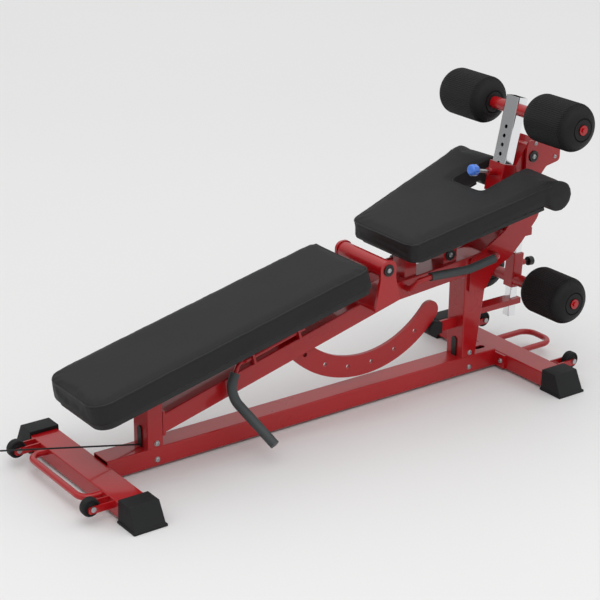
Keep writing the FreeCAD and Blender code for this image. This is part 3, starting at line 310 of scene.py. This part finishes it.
def make_finishes(colours):
    """One material for each real finish on the machine."""
    # Polyester powder coat on welded steel: a deep gloss with a faint orange peel.
    FINISHES["red_paint"] = surface(
        "polyester_powder_coat", colours.paint, 3.0, 0.05, 0.30, 0.04, 0.05, 220,
        **{"Coat Weight": 0.6, "Coat Roughness": 0.08, "Coat IOR": 1.45,
           "Specular IOR Level": 0.3})
    # Embossed PVC upholstery vinyl: matte, with a low gleam across its pebble.
    FINISHES["black_vinyl"] = leathery(
        "embossed_pvc_vinyl", colours.vinyl, 3.2, 0.20, 0.56, **{"Specular IOR Level": 0.2})
    # NBR foam with a moulded skin: smoother than the vinyl, and a little darker.
    FINISHES["black_foam"] = leathery(
        "skinned_nbr_foam", colours.foam, 2.4, 0.10, 0.52,
        **{"Specular IOR Level": 0.18})
    # Moulded rubber, left matte by the mould.
    FINISHES["black_rubber"] = surface(
        "moulded_rubber", colours.rubber, 2.2, 0.18, 0.62, 0.06, 0.10, 60,
        **{"Specular IOR Level": 0.25})
    # Closed-cell foam tube on the handles: dark gray with open pores at its surface.
    FINISHES["grip_rubber"] = surface(
        "closed_cell_foam_tube", colours.grip, 1.8, 0.25, 0.58, 0.05, 0.10, 40)
    # Bright chrome over nickel: a mirror with the faintest haze.
    FINISHES["chrome"] = surface(
        "bright_chrome_plate", linear("#E9EAEC"), 4.0, 0.015, 0.12, 0.03, 0.01, 200, Metallic=1.0)
    # Zinc plated steel, bright with a dull bloom.
    FINISHES["steel"] = surface(
        "zinc_plated_steel", linear("#B4B6B8"), 1.5, 0.10, 0.32, 0.08, 0.06, 12, Metallic=1.0)
    # Injection moulded nylon with a spark-eroded texture.
    FINISHES["black_plastic"] = surface(
        "moulded_nylon", colours.nylon, 1.6, 0.15, 0.42, 0.05, 0.08, 40)
    # Gloss ABS, coloured through.
    FINISHES["blue_plastic"] = surface(
        "gloss_abs", colours.knob, 2.5, 0.04, 0.25, 0.03, 0.04, 30,
        **{"Coat Weight": 0.4, "Coat Roughness": 0.08})
    # Plywood under black paint, its grain just showing.
    FINISHES["board"] = surface(
        "black_painted_plywood", linear("#18191A"), 5.0, 0.25, 0.60, 0.05, 0.15, 30)
    # Braided cord under a black sleeve.
    FINISHES["cord_cover"] = surface(
        "woven_cord_sleeve", linear("#0B0B0B"), 1.2, 0.35, 0.65, 0.05, 0.12, 8)


def finish_node(name):
    """Gives a CAD node the finish of its slot in the record."""
    slots = {part["node"]: part["material_slot"] for part in frame["record"]["subparts"]}
    target = frame["nodes"][name]
    material = FINISHES[slots[name]]
    if not target.data.materials:
        target.data.materials.append(material)
    for slot in target.material_slots:
        slot.material = material


# ------------------------------------------------------------------------------ soft pieces
HELD_BAND = 0.012       # height of the pad's lowest part, which its board holds still
PRESSURE = 4.0          # push of the stuffing on the skin
SKIN_MASS = 0.3         # mass of each vertex of the skin
RIM_BAND = 0.004        # how far below its highest point a pad's top still counts as flat
POINT_MERGE = 0.002     # points of the piping closer than this are one
POINT_SPACING = 0.012   # spacing of the points that are added on a straight run
LONG_RUN = 0.016        # a run longer than this gets points
LAID_ON = 0.0002        # height of the piping's middle over the skin
BACK_UP = slope(103)
SEAT_UP = slope(105.1)
SEAT_ALONG = slope(15.1)
SEAT_FRONT_PART = 0.3   # length from the seat's front that lies clear of the knee rolls
SEAT_PIPED = 0.520      # length from the seat's front that carries piping


def stuff(piece, above, lowest, sizes):
    """Remeshes a pad, lets its stuffing push the skin out, and keeps its underside flat.

    above is the unit vector out of the pad's top, lowest the least distance along it.
    """
    modify(piece, "REMESH", mode="VOXEL", voxel_size=sizes.voxel, adaptivity=0.0)
    modify(piece, "SMOOTH", factor=0.5, iterations=6)
    rest = [vert.co.copy() for vert in piece.data.vertices]
    held = piece.vertex_groups.new(name="held")
    held.add([i for i, co in enumerate(rest) if co.dot(above) < lowest + HELD_BAND],
             1.0, "REPLACE")
    cloth = piece.modifiers.new("Cloth", "CLOTH")
    cloth.settings.use_pressure = True
    cloth.settings.uniform_pressure_force = PRESSURE
    cloth.settings.mass = SKIN_MASS
    cloth.settings.quality = 4
    cloth.settings.vertex_group_mass = "held"
    cloth.settings.effector_weights.gravity = 0.0
    cloth.collision_settings.use_collision = False
    cloth.point_cache.frame_start = 1
    cloth.point_cache.frame_end = sizes.steps + 2
    for step in range(1, sizes.steps + 1):
        bpy.context.scene.frame_set(step)
    take(piece)
    bpy.ops.object.modifier_apply(modifier=cloth.name)
    bpy.context.scene.frame_set(1)
    for vert, start in zip(piece.data.vertices, rest):
        move = vert.co - start
        if move.length > sizes.swell:
            vert.co = start + move.normalized() * sizes.swell
    piece.vertex_groups.clear()
    modify(piece, "SMOOTH", factor=0.5, iterations=3)
    take(piece)
    bpy.ops.object.shade_smooth()


def edge_piping(source, skin, name, above, keep, sizes):
    """Piping along the rim of a pad's flat top, laid on its stuffed skin."""
    rim = merged_copy(source, name)
    open_edit(rim)
    top = max(vert.co.dot(above) for vert in rim.data.vertices)
    pick_faces(rim, lambda centre, normal: normal.dot(above) > 0.999
               and centre.dot(above) > top - RIM_BAND)
    bpy.ops.mesh.region_to_loop()
    bpy.ops.mesh.duplicate()
    bpy.ops.mesh.separate(type="SELECTED")
    close_edit()
    loop = [piece for piece in bpy.context.selected_objects if piece is not rim][0]
    bpy.data.objects.remove(rim)
    open_edit(loop, "VERT")
    bpy.ops.mesh.select_all(action="SELECT")
    bpy.ops.mesh.remove_doubles(threshold=POINT_MERGE)
    mesh = bmesh.from_edit_mesh(loop.data)
    long_edges = [edge for edge in mesh.edges if edge.calc_length() > LONG_RUN]
    for edge in long_edges:
        cuts = int(edge.calc_length() / POINT_SPACING)
        bmesh.ops.subdivide_edges(mesh, edges=[edge], cuts=cuts)
    bmesh.ops.delete(mesh, geom=[v for v in mesh.verts if not keep(v.co)], context="VERTS")
    bmesh.update_edit_mesh(loop.data)
    close_edit()
    modify(loop, "SHRINKWRAP", target=skin, wrap_method="NEAREST_SURFACEPOINT", offset=LAID_ON)
    modify(loop, "SMOOTH", factor=0.5, iterations=2)
    take(loop)
    bpy.ops.object.convert(target="CURVE")
    loop.data.bevel_depth = sizes.piping
    loop.data.bevel_resolution = 2
    bpy.ops.object.convert(target="MESH")
    bpy.ops.object.shade_smooth()
    return loop


class BackPad(bpy.types.Operator):
    """Stuffs the back pad and pipes its rim"""
    bl_idname = "roman_chair.back_pad"
    bl_label = "Back pad"

    def execute(self, context):
        sizes = context.scene.chair_sizes
        pad = merged_copy("back_pad", "back_cushion")
        low = min(vert.co.dot(BACK_UP) for vert in pad.data.vertices)
        stuff(pad, BACK_UP, low, sizes)
        piping = edge_piping("back_pad", pad, "back_piping", BACK_UP, lambda co: True, sizes)
        finish_piece(pad, "back_cushion", "backrest", FINISHES["black_vinyl"],
                     ["back_pad"])
        finish_piece(piping, "back_piping", "backrest", FINISHES["black_plastic"])
        return {"FINISHED"}


class SeatPad(bpy.types.Operator):
    """Stuffs the notched seat pad with its knee rolls and pipes its rim"""
    bl_idname = "roman_chair.seat_pad"
    bl_label = "Seat pad"

    def execute(self, context):
        sizes = context.scene.chair_sizes
        pad = merged_copy("seat_pad", "seat_cushion")
        front = min(vert.co.dot(SEAT_ALONG) for vert in pad.data.vertices)
        low = min(vert.co.dot(SEAT_UP) for vert in pad.data.vertices
                  if vert.co.dot(SEAT_ALONG) < front + SEAT_FRONT_PART)
        stuff(pad, SEAT_UP, low, sizes)
        end = front + SEAT_PIPED
        piping = edge_piping("seat_pad", pad, "seat_piping", SEAT_UP,
                             lambda co: co.dot(SEAT_ALONG) < end, sizes)
        finish_piece(pad, "seat_cushion", "frame", FINISHES["black_vinyl"],
                     ["seat_pad"])
        finish_piece(piping, "seat_piping", "frame", FINISHES["black_plastic"])
        return {"FINISHED"}


def ring(name, radius, depth, bore, sides):
    """A closed ring about Z: a cylinder whose ends are inset and bridged into a bore."""
    bpy.ops.mesh.primitive_cylinder_add(vertices=sides, radius=radius, depth=depth)
    piece = bpy.context.object
    piece.name = name
    open_edit(piece)
    pick_faces(piece, lambda centre, normal: abs(normal.z) > 0.9)
    bpy.ops.mesh.inset(thickness=radius - bore, depth=0)
    bpy.ops.mesh.bridge_edge_loops()
    close_edit()
    return piece


def bevel_rim(piece, radius, width, segments, side=0):
    """Rounds a ring's end edges at a radius; side picks one end, 0 both."""
    depth = max(vert.co.z for vert in piece.data.vertices)
    open_edit(piece)
    pick_edges(piece, lambda co: abs(co.xy.length - radius) < 0.0003
               and abs(abs(co.z) - depth) < 0.0003 and (side == 0 or co.z * side > 0))
    bpy.ops.mesh.bevel(offset=width, segments=segments, profile=0.5, affect="EDGES")
    close_edit()


def groove(piece, radius, height, width, depth):
    """Sinks a fine seam round a ring where it already has an edge loop at that height."""
    open_edit(piece)
    pick_edges(piece, lambda co: abs(co.xy.length - radius) < 0.0008
               and abs(abs(co.z) - height) < 0.0005)
    bpy.ops.mesh.bevel(offset=width, segments=2, profile=0.5, affect="EDGES")
    pick_edges(piece, lambda co: abs(co.xy.length - radius) < 0.0008
               and abs(abs(co.z) - height) < 0.0002)
    factor = 1 - depth / radius
    bpy.ops.transform.resize(value=(factor, factor, 1), center_override=(0, 0, 0))
    close_edit()


class FootRollers(bpy.types.Operator):
    """Moulds the foam leg rollers with their round ends and seams"""
    bl_idname = "roman_chair.rollers"
    bl_label = "Foam rollers"

    def execute(self, context):
        sizes = context.scene.chair_sizes
        for level in ("upper", "lower"):
            for side in ("near", "far"):
                name = "%s_roller_%s" % (level, side)
                low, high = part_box(name)
                radius = (high.z - low.z) / 2
                depth = high.y - low.y
                piece = ring(name + "_foam", radius, depth, sizes.bore, 72)
                bevel_rim(piece, radius, sizes.dome, 9)
                bevel_rim(piece, sizes.bore, 0.003, 2)
                groove(piece, radius, depth / 2 - sizes.dome, 0.0011, 0.0012)
                stand(piece, (low + high) / 2, Y)
                smooth(piece, 50)
                finish_piece(piece, name + "_foam", name, FINISHES["black_foam"],
                             [name])
        return {"FINISHED"}


# ------------------------------------------------------------------------------ hard pieces
WASHER = 0.0014         # thickness of the washer under a screw
EDGE = 0.0002           # how close to an end a vertex counts as lying on it
CAP_THICKNESS = 0.005
CAP_SCREW_RADIUS, CAP_SCREW_HEIGHT = 0.007, 0.0045
RUBBER_EDGE = 0.0022    # rounding of the moulded edges
WHEEL_BORE = 0.0053
KNOB_RADIUS, KNOB_DEPTH = 0.019, 0.0323
FLUTES, FLUTE_DEPTH = 8, 0.0007
CORD_START = Vector((-0.64185, 0, 0.073))
CORD_LENGTH = 0.4877    # the straight run that shows
CORD_SLOPE = 13.1       # degrees that it rises towards the front


def button_screw(radius, height, name):
    """A button head screw with a round socket, on a flat washer half sunk in its seat."""
    bpy.ops.mesh.primitive_cylinder_add(vertices=36, radius=radius * 1.12,
                                        depth=WASHER, location=(0, 0, WASHER / 2))
    washer = bpy.context.object
    modify(washer, "BEVEL", width=0.0003, segments=2, limit_method="ANGLE")
    bpy.ops.mesh.primitive_cylinder_add(vertices=36, radius=radius, depth=height - WASHER,
                                        location=(0, 0, (height + WASHER) / 2))
    head = bpy.context.object
    take(head)
    bpy.ops.object.transform_apply(location=True)
    open_edit(head)
    pick_edges(head, lambda co: co.z > height - EDGE)
    bpy.ops.mesh.bevel(offset=height * 0.55, segments=5, profile=0.5, affect="EDGES")
    pick_faces(head, lambda centre, normal: normal.z > 0.99)
    bpy.ops.mesh.inset(thickness=radius * 0.12, depth=0)
    bpy.ops.mesh.extrude_region_move(TRANSFORM_OT_translate={"value": (0, 0, -height * 0.45)})
    close_edit()
    take(washer)
    head.select_set(True)
    bpy.ops.object.join()
    washer.name = name
    smooth(washer, 35)
    return washer


class Bolts(bpy.types.Operator):
    """Fits button head screws to the frame"""
    bl_idname = "roman_chair.bolts"
    bl_label = "Frame bolts"

    def execute(self, context):
        for index, (low, high) in enumerate(islands("frame_bolts")):
            size = high - low
            thin = min(range(3), key=lambda i: size[i])
            axis = X * -1 if thin == 0 else (Y if (low.y + high.y) > 0 else Y * -1)
            radius = sorted(size)[1] / 2
            base = (low + high) / 2 - axis * size[thin] / 2
            piece = button_screw(radius, size[thin], "frame_screw_%02d" % index)
            stand(piece, base, axis)
            stands_for = ["frame_bolts"] if index == 0 else []
            finish_piece(piece, "frame_screw_%02d" % index, "frame", FINISHES["steel"],
                         stands_for)
        return {"FINISHED"}


class PivotCaps(bpy.types.Operator):
    """Fits the domed black caps and their screws to the pivots"""
    bl_idname = "roman_chair.pivot_caps"
    bl_label = "Pivot caps"

    def execute(self, context):
        for index, (low, high) in enumerate(islands("pivot_caps")):
            axis = Y if low.y > 0 else Y * -1
            radius = (high.x - low.x) / 2
            centre = (low + high) / 2
            base = Vector((centre.x, low.y if low.y > 0 else high.y, centre.z))
            thick = CAP_THICKNESS
            bpy.ops.mesh.primitive_cylinder_add(vertices=48, radius=radius, depth=thick,
                                                location=(0, 0, thick / 2))
            disc = bpy.context.object
            take(disc)
            bpy.ops.object.transform_apply(location=True)
            open_edit(disc)
            pick_edges(disc, lambda co: co.z > thick - EDGE)
            bpy.ops.mesh.bevel(offset=0.0032, segments=5, profile=0.6, affect="EDGES")
            pick_faces(disc, lambda centre, normal: normal.z > 0.5
                       and centre.xy.length < 0.001)
            bpy.ops.mesh.inset(thickness=0.004, depth=0)
            bpy.ops.mesh.inset(thickness=0.0015, depth=-0.0012)
            close_edit()
            smooth(disc, 35)
            stand(disc, base, axis)
            finish_piece(disc, "pivot_cap_%d" % index, "frame",
                         FINISHES["black_plastic"], ["pivot_caps"] if index == 0 else [])
            screw = button_screw(CAP_SCREW_RADIUS, CAP_SCREW_HEIGHT,
                                 "pivot_screw_%d" % index)
            stand(screw, base + axis * (thick - WASHER), axis)
            finish_piece(screw, "pivot_screw_%d" % index, "frame", FINISHES["steel"])
        return {"FINISHED"}


class Feet(bpy.types.Operator):
    """Softens the edges of the moulded rubber feet and the front bumper"""
    bl_idname = "roman_chair.feet"
    bl_label = "Feet and bumper"

    def execute(self, context):
        names = ["foot_%s_%s" % (end, side) for end in ("front", "rear")
                 for side in ("near", "far")]
        for name in names + ["front_bumper", "index_guide"]:
            piece = merged_copy(name, name + "_rubber")
            open_edit(piece)
            bpy.ops.mesh.select_all(action="SELECT")
            bpy.ops.mesh.dissolve_limited(angle_limit=math.radians(2))
            close_edit()
            modify(piece, "BEVEL", width=RUBBER_EDGE, segments=3, limit_method="ANGLE",
                   angle_limit=math.radians(30))
            smooth(piece, 35)
            finish_piece(piece, name + "_rubber", "frame",
                         FINISHES["black_rubber"], [name])
        return {"FINISHED"}


class Wheels(bpy.types.Operator):
    """Turns the transport wheels: a tyre with dished sides"""
    bl_idname = "roman_chair.wheels"
    bl_label = "Transport wheels"

    def execute(self, context):
        for end in ("front", "rear"):
            for side in ("near", "far"):
                name = "wheel_%s_%s" % (end, side)
                low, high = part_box(name)
                radius = (high.z - low.z) / 2
                width = high.y - low.y
                piece = ring(name + "_tyre", radius, width, WHEEL_BORE, 64)
                open_edit(piece)
                pick_faces(piece, lambda centre, normal: abs(normal.z) > 0.9)
                bpy.ops.mesh.inset(thickness=0.006, depth=0)
                bpy.ops.mesh.inset(thickness=0.001, depth=-0.003)
                close_edit()
                bevel_rim(piece, radius, 0.0045, 5)
                modify(piece, "BEVEL", width=0.0006, segments=2, limit_method="ANGLE",
                       angle_limit=math.radians(50))
                smooth(piece, 40)
                stand(piece, (low + high) / 2, Y)
                finish_piece(piece, name + "_tyre", name,
                             FINISHES["black_rubber"], [name])
        return {"FINISHED"}


class PopPinKnob(bpy.types.Operator):
    """Moulds the pop pin's knob with shallow finger flutes"""
    bl_idname = "roman_chair.knob"
    bl_label = "Pop pin knob"

    def execute(self, context):
        low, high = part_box("upper_knob")
        aim = slope(167.5)
        centre = (low + high) / 2
        radius, depth = KNOB_RADIUS, KNOB_DEPTH
        bpy.ops.mesh.primitive_cylinder_add(vertices=48, radius=radius, depth=depth)
        piece = bpy.context.object
        open_edit(piece)
        end = depth / 2
        pick_edges(piece, lambda co: co.z > end - EDGE)
        bpy.ops.mesh.bevel(offset=0.009, segments=7, profile=0.5, affect="EDGES")
        pick_edges(piece, lambda co: co.z < -end + EDGE)
        bpy.ops.mesh.bevel(offset=0.008, segments=4, profile=0.35, affect="EDGES")
        mesh = bmesh.from_edit_mesh(piece.data)
        for vert in mesh.verts:
            reach = vert.co.xy.length
            if reach > 0.6 * radius and abs(vert.co.z) < depth * 0.42:
                turn = math.atan2(vert.co.y, vert.co.x)
                dip = FLUTE_DEPTH * (0.5 - 0.5 * math.cos(FLUTES * turn))
                vert.co.xy = vert.co.xy * (1 - dip / reach)
        bmesh.update_edit_mesh(piece.data)
        close_edit()
        smooth(piece, 50)
        stand(piece, centre, aim)
        finish_piece(piece, "pop_pin_knob", "upper_pin",
                     FINISHES["blue_plastic"], ["upper_knob"])
        return {"FINISHED"}


class PullCord(bpy.types.Operator):
    """Draws the taut pull cord out of the front post's slot"""
    bl_idname = "roman_chair.cord"
    bl_label = "Pull cord"

    def execute(self, context):
        sizes = context.scene.chair_sizes
        aim = slope(180 - CORD_SLOPE)
        curve = bpy.data.curves.new("pull_cord", "CURVE")
        curve.dimensions = "3D"
        curve.bevel_depth = sizes.cord / 2
        curve.bevel_resolution = 4
        spline = curve.splines.new("NURBS")
        spline.points.add(2)
        for point, share in zip(spline.points, (0.0, 0.5, 1.0)):
            point.co = (*(CORD_START + aim * CORD_LENGTH * share), 1)
        spline.order_u = 3
        spline.use_endpoint_u = True
        piece = bpy.data.objects.new("pull_cord", curve)
        context.scene.collection.objects.link(piece)
        curve.materials.append(FINISHES["cord_cover"])
        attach(piece, "frame")
        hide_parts("cord")
        return {"FINISHED"}


class FramePaint(bpy.types.Operator):
    """Gives every model node the finish of its slot"""
    bl_idname = "roman_chair.paint"
    bl_label = "Paint and plating"

    def execute(self, context):
        for name in frame["nodes"]:
            finish_node(name)
        return {"FINISHED"}


# ------------------------------------------------------------------------------ stage
LIGHTS = (("key", (-1.6, -2.6, 4.2), 3.0, 32),      # name, place, width, watts
          ("fill", (3.2, -3.0, 2.6), 3.5, 12))
LIT_POINT = Vector((0, 0, 0.3))
HORIZON, OVERHEAD = 0.25, 1.30      # strength of the sky, level and straight up
CAMERA_PLACE = (-2.95675, -4.0074, 2.3291)
YAW, PITCH, ROLL = 35.802, 21.125, 0.523
LENS, SENSOR, RISE = 104.63, 36, -0.0102


class Stage(bpy.types.Operator):
    """Lays the pale floor and sets the soft studio lights and the camera"""
    bl_idname = "roman_chair.stage"
    bl_label = "Stage"

    def execute(self, context):
        colours = context.scene.chair_colours
        bpy.ops.mesh.primitive_plane_add(size=60, location=(0, 0, 0))
        floor = bpy.context.object
        floor.name = "studio_floor"
        floor.data.materials.append(surface("painted_studio_floor", colours.floor, 40, 0.01, 0.55,
                                            0.03, 0.004, 2000))

        world = bpy.data.worlds.new("studio")
        world.use_nodes = True
        sky = world.node_tree
        aim = node(sky, "ShaderNodeTexCoord").outputs["Generated"]
        height = node(sky, "ShaderNodeSeparateXYZ", None, {"Vector": aim}).outputs["Z"]
        glow = node(sky, "ShaderNodeMapRange",
                    {"From Min": 0.0, "From Max": 1.0, "To Min": HORIZON, "To Max": OVERHEAD},
                    {"Value": height})
        sky.nodes["Background"].inputs["Color"].default_value = (1, 1, 1, 1)
        sky.links.new(glow.outputs["Result"], sky.nodes["Background"].inputs["Strength"])
        context.scene.world = world
        for name, place, size, power in LIGHTS:
            data = bpy.data.lights.new(name, "AREA")
            data.size = size
            data.energy = power
            light = bpy.data.objects.new(name, data)
            context.scene.collection.objects.link(light)
            light.location = place
            light.rotation_euler = (LIT_POINT - Vector(place)).to_track_quat(
                "-Z", "Y").to_euler()

        yaw, pitch, roll = (math.radians(v) for v in (YAW, PITCH, ROLL))
        ahead = Vector((math.sin(yaw) * math.cos(pitch), math.cos(yaw) * math.cos(pitch),
                        -math.sin(pitch)))
        right = Vector((math.cos(yaw), -math.sin(yaw), 0))
        up = right.cross(ahead)
        tipped = right * math.cos(roll) + up * math.sin(roll)
        crown = tipped.cross(ahead)
        data = bpy.data.cameras.new("camera")
        data.lens = LENS
        data.sensor_width = SENSOR
        data.shift_y = RISE
        camera = bpy.data.objects.new("camera", data)
        context.scene.collection.objects.link(camera)
        turn = Matrix((tipped, crown, -ahead)).transposed().to_4x4()
        camera.matrix_world = Matrix.Translation(CAMERA_PLACE) @ turn
        context.scene.camera = camera
        context.scene.view_settings.view_transform = "Standard"
        return {"FINISHED"}


class ChairPanel(bpy.types.Panel):
    """Lists the chair's pieces in the sidebar"""
    bl_idname = "VIEW3D_PT_roman_chair"
    bl_label = "Roman chair"
    bl_space_type = "VIEW_3D"
    bl_region_type = "UI"
    bl_category = "Roman chair"

    def draw(self, context):
        for kind in PIECES:
            self.layout.operator(kind.bl_idname)


PIECES = (BackPad, SeatPad, FootRollers, Bolts, PivotCaps, Feet, Wheels, PopPinKnob, PullCord,
          FramePaint, Stage)
CLASSES = (ChairColours, ChairSizes) + PIECES + (ChairPanel,)


def register():
    for kind in CLASSES:
        bpy.utils.register_class(kind)
    bpy.types.Scene.chair_colours = PointerProperty(type=ChairColours)
    bpy.types.Scene.chair_sizes = PointerProperty(type=ChairSizes)


def unregister():
    del bpy.types.Scene.chair_sizes
    del bpy.types.Scene.chair_colours
    for kind in reversed(CLASSES):
        bpy.utils.unregister_class(kind)


def main():
    register()
    make_finishes(bpy.context.scene.chair_colours)
    for kind in PIECES:
        group, name = kind.bl_idname.split(".")
        getattr(getattr(bpy.ops, group), name)()


if __name__ == "__main__":
    main()
